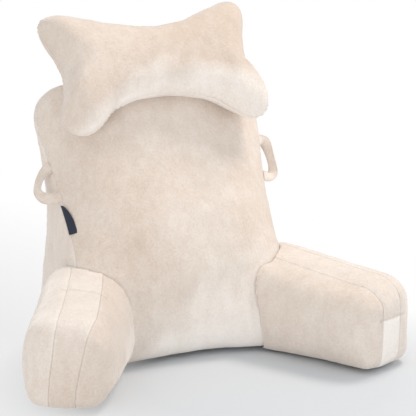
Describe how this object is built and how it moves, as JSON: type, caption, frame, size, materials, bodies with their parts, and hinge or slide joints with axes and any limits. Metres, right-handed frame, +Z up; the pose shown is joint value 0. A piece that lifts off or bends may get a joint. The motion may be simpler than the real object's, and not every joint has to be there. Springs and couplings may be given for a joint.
{
  "type": "reading pillow with arms",
  "caption": "Plush reading pillow: leaning backrest with boxed arms that splay forward, a butterfly neck pillow, strap handles in the side seams and a bare side tag.",
  "frame": {"origin": "centre of the footprint on the floor", "axes": "+Z up, -Y the front that a person leans against from, +X to the right as seen from the front"},
  "size_m": [0.7206, 0.5172, 0.6046],
  "materials": {
    "plush": "short brushed pile",
    "webbing": "flat sewn strap",
    "ribbon": "woven ribbon"
  },
  "bodies": {
    "root": {"backrest": "plush", "arm_left": "plush", "arm_right": "plush", "neck_pillow": "plush", "handle_left": "webbing", "handle_right": "webbing", "side_tag": "ribbon"}
  },
  "joints": []
}
